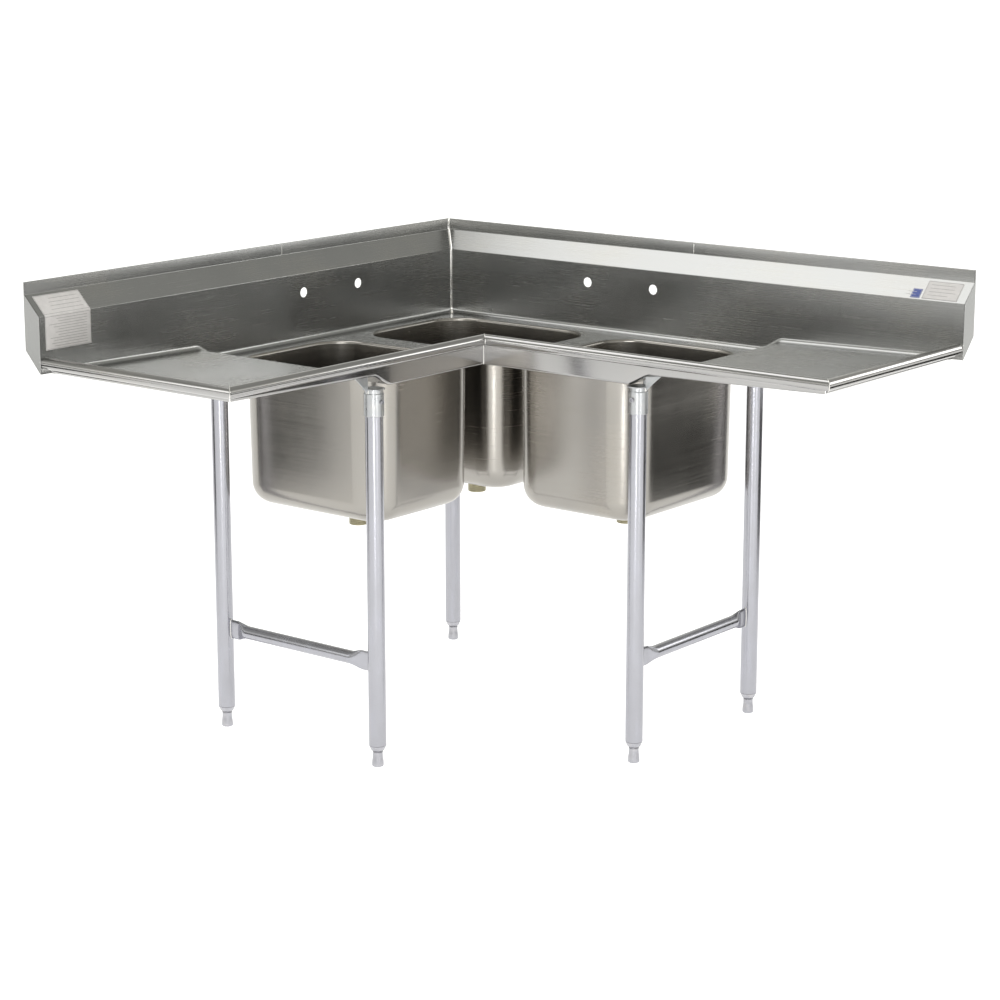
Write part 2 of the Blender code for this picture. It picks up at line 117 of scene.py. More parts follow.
def on_wing(wing, s, d, z):
    return from_corner(s, d, z) if wing == "right" else from_corner(d, s, z)


def bend_rise(s, at, change):
    """Extra height past a bend that turns the slope by change, rounded over BEND_HALF to each side."""
    t = s - at
    if t <= -BEND_HALF:
        return 0.0
    if t >= BEND_HALF:
        return change * t
    return change * (t + BEND_HALF) ** 2 / (4 * BEND_HALF)


def deck_height(wing, s):
    """Top of the deck: level, a ramp, then the pitched drainboard, with rounded bends."""
    first = DECK_END[wing] + BEND_HALF
    second = DECK_END[wing] + RAMP_LENGTH
    ramp = RAMP_RISE / (second - first)
    board_length = LENGTH[wing] - RISER - second
    pitch = (DRAIN_TOP - DECK_Z - RAMP_RISE) / board_length
    return DECK_Z + bend_rise(s, first, ramp) + bend_rise(s, second, pitch - ramp)


# Materials

BUMP_DISTANCE = 0.0002


class Nodes:
    """Short helper round a material's node tree."""

    def __init__(self, name):
        self.material = bpy.data.materials.new(name)
        self.material.use_nodes = True
        self.tree = self.material.node_tree
        self.shader = self.tree.nodes["Principled BSDF"]
        self.place = self.add("ShaderNodeTexCoord").outputs["Object"]

    def add(self, kind, **values):
        node = self.tree.nodes.new(kind)
        for key, value in values.items():
            setattr(node, key, value)
        return node

    def link(self, source, target):
        self.tree.links.new(source, target)

    def feed(self, value, target):
        """Sets a socket to a number, or links another node's output to it."""
        if isinstance(value, (int, float)):
            target.default_value = value
        else:
            self.link(value, target)

    def noise(self, scale, detail, rough, stretch=(1, 1, 1)):
        mapping = self.add("ShaderNodeMapping")
        mapping.inputs["Scale"].default_value = stretch
        self.link(self.place, mapping.inputs["Vector"])
        made = self.add("ShaderNodeTexNoise")
        made.inputs["Scale"].default_value = scale
        made.inputs["Detail"].default_value = detail
        made.inputs["Roughness"].default_value = rough
        self.link(mapping.outputs["Vector"], made.inputs["Vector"])
        return made.outputs["Fac"]

    def math(self, operation, a, b=0.0, clamp=False):
        node = self.add("ShaderNodeMath", operation=operation, use_clamp=clamp)
        self.feed(a, node.inputs[0])
        self.feed(b, node.inputs[1])
        return node.outputs[0]

    def mix(self, factor, a, b):
        node = self.add("ShaderNodeMix", data_type="FLOAT")
        self.feed(factor, node.inputs[0])
        self.feed(a, node.inputs[2])
        self.feed(b, node.inputs[3])
        return node.outputs[0]

    def span(self, value, low, high, out_low, out_high):
        node = self.add("ShaderNodeMapRange")
        node.inputs["From Min"].default_value = low
        node.inputs["From Max"].default_value = high
        node.inputs["To Min"].default_value = out_low
        node.inputs["To Max"].default_value = out_high
        self.link(value, node.inputs["Value"])
        return node.outputs["Result"]

    def ramp(self, value, stops):
        node = self.add("ShaderNodeValToRGB")
        elements = node.color_ramp.elements
        while len(elements) < len(stops):
            elements.new(0.5)
        for element, (position, color) in zip(elements, stops):
            element.position = position
            element.color = (*color, 1.0)
        self.link(value, node.inputs["Fac"])
        return node.outputs["Color"]

    def bump(self, height, strength):
        node = self.add("ShaderNodeBump")
        node.inputs["Strength"].default_value = strength
        node.inputs["Distance"].default_value = BUMP_DISTANCE
        self.link(height, node.inputs["Height"])
        return node.outputs["Normal"]

    def axis(self, name):
        split = self.add("ShaderNodeSeparateXYZ")
        self.link(self.place, split.inputs[0])
        return split.outputs[name]

    def normal_axis(self, name):
        geometry = self.add("ShaderNodeNewGeometry")
        split = self.add("ShaderNodeSeparateXYZ")
        self.link(geometry.outputs["Normal"], split.inputs[0])
        return self.math("ABSOLUTE", split.outputs[name])


def shade(color, factor):
    return tuple(min(1.0, c * factor) for c in color)


def finish_metal(nodes, grain, blotch, color, rough, grain_bump, spread=0.055, warm=(1.03, 1.0, 0.95)):
    """Wires grain and blotches into the colour, roughness and normal of a bare metal."""
    tone = nodes.mix(0.35, blotch, grain)
    dark = shade(color, 1.0 - spread)
    light = tuple(min(1.0, c * (1.0 + spread) * w) for c, w in zip(color, warm))
    stops = ((0.25, dark), (0.5, color), (0.75, light))
    nodes.link(nodes.ramp(tone, stops), nodes.shader.inputs["Base Color"])
    nodes.shader.inputs["Metallic"].default_value = 1.0
    cloudy = nodes.span(blotch, 0.3, 0.7, -0.05, 0.05)
    fine = nodes.span(grain, 0.3, 0.7, -0.06, 0.06)
    roughness = nodes.math("ADD", nodes.mix(0.5, cloudy, fine), rough, clamp=True)
    nodes.link(roughness, nodes.shader.inputs["Roughness"])
    nodes.link(nodes.bump(grain, grain_bump), nodes.shader.inputs["Normal"])
    return nodes.material


def sheet_steel(name, color, rough, grain_bump=0.04):
    """Brushed sheet whose grain runs along whichever wing a point is on."""
    nodes = Nodes(name)
    along_x = nodes.noise(1.0, 3.0, 0.6, (2.2, 780.0, 780.0))
    along_y = nodes.noise(1.0, 3.0, 0.6, (780.0, 2.2, 780.0))
    from_left = nodes.math("SUBTRACT", nodes.axis("X"), LOW.x)
    from_right = nodes.math("SUBTRACT", HIGH.y, nodes.axis("Y"))
    on_left = nodes.math("GREATER_THAN", from_right, from_left)
    grain = nodes.mix(on_left, along_x, along_y)
    blotch = nodes.noise(4.5, 4.0, 0.55)
    return finish_metal(nodes, grain, blotch, color, rough, grain_bump)


def pan_steel(name, color, rough, grain_bump=0.05):
    """Drawn and brushed steel: grain runs round the walls, and one way on the floor."""
    nodes = Nodes(name)
    round_walls = nodes.noise(1.0, 3.0, 0.6, (3.0, 3.0, 700.0))
    on_floor = nodes.noise(1.0, 3.0, 0.6, (3.0, 700.0, 3.0))
    flat = nodes.span(nodes.normal_axis("Z"), 0.55, 0.85, 0.0, 1.0)
    grain = nodes.mix(flat, round_walls, on_floor)
    blotch = nodes.noise(6.0, 4.0, 0.55, (1, 1, 0.4))
    return finish_metal(nodes, grain, blotch, color, rough, grain_bump)


def tube_steel(name, color, rough, grain_bump=0.06):
    """Zinc-coated tube: fine drawing lines along Z and soft cloudy patches."""
    nodes = Nodes(name)
    grain = nodes.noise(1.0, 3.0, 0.6, (420.0, 420.0, 4.0))
    blotch = nodes.noise(38.0, 5.0, 0.6, (1, 1, 0.35))
    return finish_metal(nodes, grain, blotch, color, rough, grain_bump, 0.09, (0.99, 1.0, 1.03))


def cast_metal(name, color, rough, grain_bump=0.25, scale=420.0):
    nodes = Nodes(name)
    grain = nodes.noise(scale, 4.0, 0.6)
    blotch = nodes.noise(60.0, 4.0, 0.6)
    return finish_metal(nodes, grain, blotch, color, rough, grain_bump, 0.16)


def dull(name, color, rough, scale=300.0, bump=0.2, spread=0.15):
    """A non-metal with a mottled colour and a fine tooth."""
    nodes = Nodes(name)
    grain = nodes.noise(scale, 4.0, 0.6)
    stops = ((0.3, shade(color, 1 - spread)), (0.7, shade(color, 1 + spread)))
    nodes.link(nodes.ramp(grain, stops), nodes.shader.inputs["Base Color"])
    nodes.link(nodes.span(grain, 0.3, 0.7, rough - 0.06, rough + 0.06), nodes.shader.inputs["Roughness"])
    nodes.link(nodes.bump(grain, bump), nodes.shader.inputs["Normal"])
    return nodes.material


STEEL = sheet_steel("sheet_steel", (0.372, 0.374, 0.368), 0.25)
ROLL = sheet_steel("roll_steel", (0.385, 0.38, 0.375), 0.16, 0.04)
PAN = pan_steel("pan_steel", (0.335, 0.32, 0.298), 0.24)
WELD = cast_metal("polished_weld", (0.72, 0.71, 0.69), 0.16, 0.15, 260.0)
TUBE = tube_steel("zinc_tube", (0.38, 0.38, 0.41), 0.24)
SOCKET = cast_metal("socket_steel", (0.44, 0.45, 0.46), 0.30, 0.15, 300.0)
FOOT = cast_metal("look_foot_steel", (0.42, 0.42, 0.45), 0.36, 0.20, 300.0)
BRASS = cast_metal("look_cast_brass", (0.46, 0.43, 0.31), 0.33, 0.30, 260.0)
CHROME = cast_metal("bright_steel", (0.66, 0.66, 0.66), 0.15, 0.05, 300.0)
RUBBER = dull("look_black_rubber", (0.03, 0.03, 0.032), 0.65)
FIBRE = dull("look_pressed_fibre", (0.36, 0.24, 0.14), 0.8)
FOIL = dull("look_label_foil", (0.60, 0.58, 0.57), 0.38, 90.0, 0.05, 0.06)
INK = dull("look_label_ink", (0.20, 0.19, 0.19), 0.5, 200.0, 0.05)
BLUE = dull("look_blue_foil", (0.05, 0.08, 0.30), 0.35, 120.0, 0.05)


# Mesh makers


def rings_mesh(rings, closed=False):
    """Vertices and faces that skin closed rings of points in order, with ends unless it closes."""
    count = len(rings[0])
    verts = [tuple(p) for ring in rings for p in ring]
    faces = []
    last = len(rings) if closed else len(rings) - 1
    for row in range(last):
        a = row * count
        b = (row + 1) % len(rings) * count
        for i in range(count):
            j = (i + 1) % count
            faces.append((a + i, a + j, b + j, b + i))
    if not closed:
        faces.append(tuple(range(count)))
        faces.append(tuple(range((len(rings) - 1) * count, len(rings) * count)))
    return verts, faces


def put(name, data):
    obj = bpy.data.objects.new(name, data)
    bpy.context.scene.collection.objects.link(obj)
    return obj


def piece(name, parts, material, stands_for=(), body=ROOT, angle=SHARP_ANGLE, bevel=0.0):
    """One object from (verts, faces) parts, riding on a body in place of the CAD nodes named."""
    bm = bmesh.new()
    for verts, faces in parts:
        made = [bm.verts.new(v) for v in verts]
        for face in faces:
            bm.faces.new([made[i] for i in face])
    bmesh.ops.recalc_face_normals(bm, faces=bm.faces)
    mesh = bpy.data.meshes.new(name)
    bm.to_mesh(mesh)
    bm.free()
    mesh.materials.append(material)
    mesh.shade_smooth()
    mesh.set_sharp_from_angle(angle=math.radians(angle))
    obj = put(name, mesh)
    if bevel:
        modifier = obj.modifiers.new("Bevel", "BEVEL")
        modifier.width = bevel
        modifier.segments = 2
        modifier.limit_method = "ANGLE"
        modifier.angle_limit = math.radians(40)
        modifier.harden_normals = True
    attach(obj, body)
    if stands_for:
        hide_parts(*stands_for)
    return obj


def rounded(points, radii):
    """A polyline whose inner corners are rounded to the radii given."""
    out = [Vector(points[0])]
    for before, corner, after, radius in zip(points, points[1:], points[2:], radii):
        corner = Vector(corner)
        to_before = (Vector(before) - corner).normalized()
        to_after = (Vector(after) - corner).normalized()
        half = to_before.angle(to_after) / 2
        reach = radius / math.tan(half)
        center = corner + (to_before + to_after).normalized() * radius / math.sin(half)
        start = corner + to_before * reach - center
        turn = (math.pi - 2 * half) * (1 if start.cross(to_after) > 0 else -1)
        for step in range(BEND_STEPS + 1):
            a = turn * step / BEND_STEPS
            x = start.x * math.cos(a) - start.y * math.sin(a)
            y = start.x * math.sin(a) + start.y * math.cos(a)
            out.append(center + Vector((x, y)))
    out.append(Vector(points[-1]))
    return out


def shifted(path, distance):
    """The polyline moved sideways, to its left for a positive distance."""
    out = []
    for i, point in enumerate(path):
        before = path[max(i - 1, 0)]
        after = path[min(i + 1, len(path) - 1)]
        sides = []
        for a, b in ((before, point), (point, after)):
            run = b - a
            if run.length > 1e-9:
                run.normalize()
                sides.append(Vector((-run.y, run.x)))
        normal = sum(sides, Vector((0, 0))).normalized()
        out.append(point + normal * (distance / max(0.3, normal.dot(sides[0]))))
    return out


def circle(cx, cy, radius, count):
    angles = [2 * math.pi * i / count for i in range(count)]
    return [(cx + radius * math.cos(a), cy + radius * math.sin(a)) for a in angles]


def turned(profile, center, closed=True, sides=64, radius_of=None):
    """A (radius, z) profile turned about a vertical axis; radius_of may change a radius by angle."""
    rings = []
    for radius, z in profile:
        ring = []
        for i in range(sides):
            a = 2 * math.pi * i / sides
            r = radius if radius_of is None else radius_of(radius, a, z)
            ring.append((center[0] + r * math.cos(a), center[1] + r * math.sin(a), z))
        rings.append(ring)
    return rings_mesh(rings, closed=closed)


def tube_along(path, radius, sides=10):
    """A capped round bar that follows 3-D points."""
    rings = []
    side = None
    for i, point in enumerate(path):
        run = (path[min(i + 1, len(path) - 1)] - path[max(i - 1, 0)]).normalized()
        if side is None:
            side = run.orthogonal().normalized()
        side = (side - run * side.dot(run)).normalized()
        other = run.cross(side)
        ring = []
        for k in range(sides):
            a = 2 * math.pi * k / sides
            ring.append(point + side * radius * math.cos(a) + other * radius * math.sin(a))
        rings.append(ring)
    return rings_mesh(rings)


def rounded_rect(cx, cy, long, wide, radius, steps=14):
    points = []
    for quarter, (sign_x, sign_y) in enumerate(((1, 1), (-1, 1), (-1, -1), (1, -1))):
        corner_x = cx + sign_x * (long / 2 - radius)
        corner_y = cy + sign_y * (wide / 2 - radius)
        for step in range(steps + 1):
            a = math.pi / 2 * (quarter + step / steps)
            points.append((corner_x + radius * math.cos(a), corner_y + radius * math.sin(a)))
    return points


# The folded and welded top


def board_stations(wing, end):
    """Places along a wing where its sections are drawn, closer together round the deck's bends."""
    first = DECK_END[wing]
    second = first + RAMP_LENGTH
    starts = (first, second - BEND_HALF)
    near = [start + 2 * BEND_HALF * i / 6 for start in starts for i in range(7)]
    return near + [second + 0.2, end]


def splash_outline(wing, s, cove):
    """(d, z) section: foot, face, slope and hemmed upturn, then the sheet's back."""
    foot = deck_height(wing, s)
    path = rounded(
        (
            (SPLASH_DEPTH + cove, foot),
            (SPLASH_DEPTH, foot),
            (SPLASH_DEPTH, SLOPE_Z),
            (HEM, SPLASH_Z - UPTURN),
            (HEM, SPLASH_Z - HEM / 2),
        ),
        (cove * 0.995, BEND_R, BEND_R),
    )
    below_upturn = path[: -(BEND_STEPS + 2)]
    wall = shifted(below_upturn, SHEET)
    half = HEM / 2
    over = (0.5, 1.1, 1.57, 2.1, 2.7)
    top = [(half + half * math.cos(a), SPLASH_Z - half + half * math.sin(a)) for a in over]
    back = [(0.0, SPLASH_Z - half), (0.0, SPLASH_Z - UPTURN - SHEET)]
    return [tuple(p) for p in path] + top + back + [tuple(p) for p in reversed(wall)]


def make_splash(wing):
    length = LENGTH[wing]
    rim_start = length - RISER - 2 * GAP
    rings = [[on_wing(wing, d + 0.00005, d, z) for d, z in splash_outline(wing, 0.0, COVE_R)]]
    for s in [0.35, 0.70] + board_stations(wing, rim_start - SHEET):
        rings.append([on_wing(wing, s, d, z) for d, z in splash_outline(wing, s, COVE_R)])
    for s in (rim_start, length - SHEET - GAP):
        rings.append([on_wing(wing, s, d, z) for d, z in splash_outline(wing, s, 0.0009)])
    obj = piece(f"backsplash_{wing}", [rings_mesh(rings)], STEEL, (f"splash_{wing}",))
    for s in FAUCETS[wing]:
        drill(obj, on_wing(wing, s, 0.02, FAUCET_Z), on_wing(wing, s, 0.08, FAUCET_Z), FAUCET_R)


def drill(obj, start, end, radius):
    """Cuts a round hole from start to end and applies the cut."""
    verts, faces = tube_along([start, end], radius, 40)
    cutter = bpy.data.meshes.new("cutter")
    cutter.from_pydata(verts, [], faces)
    tool = put("cutter", cutter)
    modifier = obj.modifiers.new("Hole", "BOOLEAN")
    modifier.object = tool
    modifier.operation = "DIFFERENCE"
    modifier.solver = "EXACT"
    graph = bpy.context.evaluated_depsgraph_get()
    cut = bpy.data.meshes.new_from_object(obj.evaluated_get(graph))
    obj.modifiers.remove(modifier)
    obj.data = cut
    bpy.data.objects.remove(tool)
    cut.set_sharp_from_angle(angle=math.radians(SHARP_ANGLE))


def make_end_cap(wing):
    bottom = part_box(f"end_cap_{wing}")[0].z
    outline = (
        (0.0, SPLASH_Z),
        (HEM, SPLASH_Z),
        (HEM, SPLASH_Z - UPTURN),
        (SPLASH_DEPTH, SLOPE_Z),
        (SPLASH_DEPTH, bottom),
        (0.0, bottom + END_CAP_CUT),
    )
    stations = (LENGTH[wing] - SHEET, LENGTH[wing])
    rings = [[on_wing(wing, s, d, z) for d, z in outline] for s in stations]
    piece(f"closed_end_{wing}", [rings_mesh(rings)], STEEL, (f"end_cap_{wing}",), bevel=0.0005)


def rim_path(bottom):
    """The rim's room-side surface: deck, cove, riser, then the roll over and back under, as (q, z)."""
    middle = RISER - ROLL_R
    center_z = RIM_Z - ROLL_R
    steps = 26
    path = rounded(
        ((RISER + FRONT_COVE_R, bottom), (RISER, bottom), (RISER, center_z - 0.002)),
        (FRONT_COVE_R * 0.995,),
    )
    for i in range(steps + 1):
        a = ROLL_SWEEP * i / steps
        path.append(Vector((middle + ROLL_R * math.cos(a), center_z + ROLL_R * math.sin(a))))
    return path


def rim_outline(bottom):
    path = rim_path(bottom)
    return [tuple(p) for p in path] + [tuple(p) for p in reversed(shifted(path, SHEET))]


def make_rims(wing):
    length = LENGTH[wing]
    rings = [[on_wing(wing, DEPTH - q, DEPTH - q, z) for q, z in rim_outline(DECK_Z)]]
    for s in board_stations(wing, length - 0.1):
        rings.append([on_wing(wing, s, DEPTH - q, z) for q, z in rim_outline(deck_height(wing, s))])
    rings.append([on_wing(wing, length - q, DEPTH - q, z) for q, z in rim_outline(deck_height(wing, length))])
    piece(f"rolled_rim_front_{wing}", [rings_mesh(rings)], ROLL, (f"rim_front_{wing}",))
    outline = rim_outline(deck_height(wing, length))
    stops = (SPLASH_DEPTH + 0.0009, 0.2, 0.4)
    rings = [[on_wing(wing, length - q, d, z) for q, z in outline] for d in stops]
    rings.append([on_wing(wing, length - q, DEPTH - q, z) for q, z in outline])
    piece(f"rolled_rim_end_{wing}", [rings_mesh(rings)], ROLL, (f"rim_end_{wing}",))


def bowl_size(bowl):
    """Centre and inner size of a bowl's mouth, from its CAD node's box."""
    low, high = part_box(f"bowl_{bowl}")
    size = high - low
    return (low + high) / 2, size.x - 2 * BOWL_LIP_R, size.y - 2 * BOWL_LIP_R


def bowl_ring(bowl, offset, z):
    center, size_x, size_y = bowl_size(bowl)
    size = (size_x + 2 * offset, size_y + 2 * offset)
    outline = rounded_rect(center.x, center.y, *size, BOWL_CORNER_R + offset)
    return [(x, y, z) for x, y in outline]


def flat_sheet(outlines, top, thickness):
    """A level sheet with holes: the first outline is its edge and the others are openings."""
    bm = bmesh.new()
    for outline in outlines:
        loop = [bm.verts.new((x, y, top)) for x, y in outline]
        for a, b in zip(loop, loop[1:] + loop[:1]):
            bm.edges.new((a, b))
    bmesh.ops.triangle_fill(bm, edges=bm.edges, use_beauty=True, use_dissolve=False)
    faces = list(bm.faces)
    made = bmesh.ops.extrude_face_region(bm, geom=faces)
    moved = [v for v in made["geom"] if isinstance(v, bmesh.types.BMVert)]
    bmesh.ops.translate(bm, verts=moved, vec=(0, 0, -thickness))
    bm.verts.index_update()
    part = ([tuple(v.co) for v in bm.verts], [tuple(v.index for v in f.verts) for f in bm.faces])
    bm.free()
    return part


def make_deck():
    back = SPLASH_DEPTH + COVE_R
    front = DEPTH - RISER - FRONT_COVE_R
    plan = (
        (back, back),
        (DECK_END["right"], back),
        (DECK_END["right"], front),
        (front, front),
        (front, DECK_END["left"]),
        (back, DECK_END["left"]),
    )
    outlines = [[tuple(from_corner(x, y, 0))[:2] for x, y in plan]]
    for bowl in BOWLS:
        outlines.append([(x, y) for x, y, _ in bowl_ring(bowl, BOWL_LIP_R, 0)])
    piece("deck", [flat_sheet(outlines, DECK_Z, SHEET)], STEEL, ("bowl_deck",))


def make_drainboard(wing):
    near, far = SPLASH_DEPTH + COVE_R, DEPTH - RISER - FRONT_COVE_R
    rings = []
    for s in board_stations(wing, LENGTH[wing] - RISER - FRONT_COVE_R):
        z = deck_height(wing, s)
        outline = ((near, z), (far, z), (far, z - SHEET), (near, z - SHEET))
        rings.append([on_wing(wing, s, d, h) for d, h in outline])
    piece(f"drainboard_sheet_{wing}", [rings_mesh(rings)], STEEL, (f"drainboard_{wing}",))


def make_bowl(bowl):
    """A drawn pan: lip, wall, round bottom edge, and a floor that falls to the drain's recess."""
    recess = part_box(f"bowl_{bowl}")[0].z + SHEET
    center, _, _ = bowl_size(bowl)
    floor = DECK_Z - BOWL_DEPTH
    sections = []
    for i in range(7):
        a = math.pi / 2 * i / 6
        z = DECK_Z - BOWL_LIP_R * (1 - math.cos(a))
        sections.append((BOWL_LIP_R * (1 - math.sin(a)), z, math.sin(a), -math.cos(a)))
    for t in (0.25, 0.5, 0.75):
        z = DECK_Z - BOWL_LIP_R + (floor + BOWL_BOTTOM_R - DECK_Z + BOWL_LIP_R) * t
        sections.append((-BOWL_TAPER * t, z, 1.0, 0.0))
    for i in range(15):
        a = math.pi / 2 * i / 14
        offset = -BOWL_TAPER - BOWL_BOTTOM_R * (1 - math.cos(a))
        z = floor + BOWL_BOTTOM_R * (1 - math.sin(a))
        sections.append((offset, z, math.cos(a), -math.sin(a)))
    inside = [bowl_ring(bowl, o, z) for o, z, _, _ in sections]
    outside = [bowl_ring(bowl, o + PAN_WALL * no, z + PAN_WALL * nz) for o, z, no, nz in sections]
    spokes = [Vector((x - center.x, y - center.y)) for x, y, _ in inside[-1]]
    units = [spoke.normalized() for spoke in spokes]
    fall = floor - (recess + RECESS_FALL)
    for k in range(1, 6):
        t = k / 6
        spots = [spoke.lerp(unit * RECESS_EDGE_R, t) for spoke, unit in zip(spokes, units)]
        for rings, lift in ((inside, 0.0), (outside, -PAN_WALL)):
            rings.append([(center.x + p.x, center.y + p.y, floor - fall * t + lift) for p in spots])
    edge = floor - fall
    rims = (
        (RECESS_EDGE_R, edge),
        (0.0468, edge - 0.0006),
        (0.0440, recess + 0.0006),
        (0.0430, recess),
        (0.0245, recess),
    )
    for radius, z in rims:
        for rings, lift, extra in ((inside, 0.0, 0.0), (outside, -PAN_WALL, PAN_WALL * 0.6)):
            r = radius + (extra if radius > 0.03 else 0.0)
            rings.append([(center.x + u.x * r, center.y + u.y * r, z + lift) for u in units])
    skin = rings_mesh(inside + outside[::-1], closed=True)
    piece(f"pan_{bowl}", [skin], PAN, (f"bowl_{bowl}",), angle=50)


# Welds


def make_weld(name, path, radius=0.0011):
    """A dressed weld bead along 3-D points."""
    piece(name, [tube_along(path, radius)], WELD)


def make_rim_welds():
    """Beads over the rolls and up the risers, at each wing's outer corner and at the inner one."""
    ends = [(wing, LENGTH[wing], deck_height(wing, LENGTH[wing]), f"outer_%s_{wing}") for wing in WINGS]
    ends.append(("right", DEPTH, DECK_Z, "inner_%s"))
    for wing, length, deck, name in ends:
        riser = [(RISER - SHEET, deck), (RISER - SHEET, RIM_Z - 2 * ROLL_R)]
        for part, path, radius in (("corner", rim_path(deck), 0.0011), ("riser", riser, 0.0016)):
            points = [on_wing(wing, length - q, DEPTH - q, z) for q, z in path]
            make_weld("weld_" + name % part, points, radius)


def make_corner_seam():
    """The dressed fillet weld where the two splashes meet."""
    outline = splash_outline("right", 0.0, COVE_R)
    path = [Vector(p) for p in outline[: len(outline) // 2 + 2] if p[0] > HEM * 0.9]
    wide = 0.0042
    rings = []
    for d, z in path:
        left = on_wing("left", d + wide, d, z)
        right = on_wing("right", d + wide, d, z)
        corner = from_corner(d, d, z)
        room = (left + right) / 2
        under = (corner - room).normalized() * 0.0006
        rings.append([left, corner.lerp(room, 0.62), right, right + under, corner + under, left + under])
    piece("weld_splash_corner", [rings_mesh(rings)], WELD, angle=70)


def make_upturn_marks():
    """A fine upright bead on each wing's upturn."""
    for wing, s in UPTURN_MARKS.items():
        heights = [SPLASH_Z - 0.003 - 0.024 * i / 6 for i in range(7)]
        make_weld(f"weld_upturn_{wing}", [on_wing(wing, s, HEM + 0.0001, z) for z in heights], 0.0008)


# Drains and strainers


def thread_radius(depth, pitch):
    def radius_of(radius, angle, z):
        phase = (z / pitch - angle / (2 * math.pi)) % 1.0
        return radius - depth * abs(2 * phase - 1)

    return radius_of


def thread_only(depth, pitch):
    """The thread on the outside alone, leaving the bore as it is."""
    helix = thread_radius(depth, pitch)

    def radius_of(radius, angle, z):
        return radius if radius < 0.0220 else helix(radius, angle, z)

    return radius_of


def axis_of(node):
    """(x, y) of a turned node's axis."""
    low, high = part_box(node)
    return (low.x + high.x) / 2, (low.y + high.y) / 2


def make_drain(bowl):
    center = axis_of(f"drain_body_{bowl}")
    low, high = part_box(f"drain_body_{bowl}")
    flange = high.z - 0.003
    bottom = low.z
    body = [
        (0.0380, flange),
        (0.0380, flange + 0.0012),
        (0.0374, flange + 0.0021),
        (0.0362, flange + 0.0027),
        (0.0348, flange + 0.0030),
        (0.0335, flange + 0.0028),
        (0.0322, flange + 0.0020),
        (0.0305, flange + 0.0012),
        (0.0300, flange + 0.0010),
        (0.0221, flange + 0.0010),
        (0.0213, flange + 0.0006),
        (0.0201, flange - 0.0055),
        (0.0200, flange - 0.0065),
        (0.0200, bottom + 0.0006),
        (0.0206, bottom),
        (0.0216, bottom),
        (0.0222, bottom + 0.0008),
        (0.0222, flange - 0.0015),
        (0.0230, flange),
    ]
    start, end, steps = bottom + 0.0008, flange - 0.0050, 84
    thread = [(0.0231, start + (end - start) * i / steps) for i in range(steps + 1)]
    thread = [(0.0208, start)] + thread + [(0.0208, thread[-1][1])]
    sleeve = turned(thread, center, radius_of=thread_only(0.0009, 0.0022))
    piece(f"drain_fitting_{bowl}", [turned(body, center), sleeve], BRASS, (f"drain_body_{bowl}",), angle=40)
    bright = [(r, z + 0.0001) for r, z in body[2:8]] + [(0.031, flange)]
    piece(f"drain_flange_ring_{bowl}", [turned(bright, center)], CHROME)
    washers = (("drain_washer", RUBBER, "sealing_washer"), ("drain_friction_ring", FIBRE, "friction_washer"))
    for node, material, name in washers:
        ring = ring_profile(f"{node}_{bowl}", 0.0246, 0.0003)
        piece(f"{name}_{bowl}", [turned(ring, center)], material, (f"{node}_{bowl}",))
    node = f"drain_locknut_{bowl}"
    nut = turned(ring_profile(node, 0.0248, 0.0008), center, sides=128, radius_of=lugs)
    piece(f"locknut_{bowl}", [nut], BRASS, (node,))


def ring_profile(node, bore, ease):
    """A flat ring the size of its CAD node, with its outer edges eased."""
    low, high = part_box(node)
    outer = (high.x - low.x) / 2
    return [
        (bore, low.z),
        (outer - ease, low.z),
        (outer, low.z + ease),
        (outer, high.z - ease),
        (outer - ease, high.z),
        (bore, high.z),
    ]


def lugs(radius, angle, z):
    """Eight lugs round a locknut's outside."""
    if radius < 0.027:
        return radius
    wave = 0.5 + 0.5 * math.cos(8 * angle)
    return radius - 0.0035 * (1.0 - min(1.0, max(0.0, (wave - 0.35) * 3.5)))


def make_strainer(bowl):
    """A crumb cup with a perforated floor and a pull knob."""
    node = f"strainer_{bowl}"
    x, y = axis_of(node)
    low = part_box(node)[0].z
    seat = low + 0.0145
    wall = [
        (0.0164, low + 0.0012),
        (0.0172, low),
        (0.0177, low + 0.0002),
        (0.0192, seat - 0.0010),
        (0.0200, seat - 0.0004),
        (0.0290, seat - 0.0002),
        (0.0298, seat + 0.0008),
        (0.0296, seat + 0.0014),
        (0.0286, seat + 0.0016),
        (0.0200, seat + 0.0011),
        (0.0185, seat + 0.0003),
        (0.0168, low + 0.0014),
    ]
    piece(f"strainer_cup_{bowl}", [turned(wall, (x, y))], CHROME, (node,), body=node)
    outlines = [circle(x, y, 0.0170, 48)]
    for count, radius, turn in ((6, 0.0075, 0.0), (12, 0.0130, 0.26)):
        for k in range(count):
            a = 2 * math.pi * k / count + turn
            outlines.append(circle(x + radius * math.cos(a), y + radius * math.sin(a), 0.0014, 12))
    piece(f"strainer_floor_{bowl}", [flat_sheet(outlines, low + 0.0012, 0.0009)], CHROME, body=node)
    knob = [
        (0.0038, low + 0.0011),
        (0.0030, low + 0.0022),
        (0.0028, seat + 0.0012),
        (0.0040, seat + 0.0026),
        (0.0052, seat + 0.0038),
        (0.0054, seat + 0.0048),
        (0.0048, seat + 0.0060),
        (0.0034, seat + 0.0066),
        (0.0012, seat + 0.0067),
    ]
    piece(f"strainer_knob_{bowl}", [turned(knob, (x, y), closed=False, sides=40)], CHROME, body=node)


# Legs

FOOT_THREAD_R = 0.0124
SLEEVE_R = 0.0230
PLATE_HALF = 0.0222
WEB = 0.003
WEB_TIP = 0.062
RAIL_R = 0.015875
FLAT_HALF = 0.0026
TALL_HALF = 0.0235


def leg_center(leg):
    """Axis, bottom, top and radius of a leg."""
    low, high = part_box(f"leg_{leg}")
    return Vector((*axis_of(f"leg_{leg}"), 0.0)), low.z, high.z, (high.x - low.x) / 2


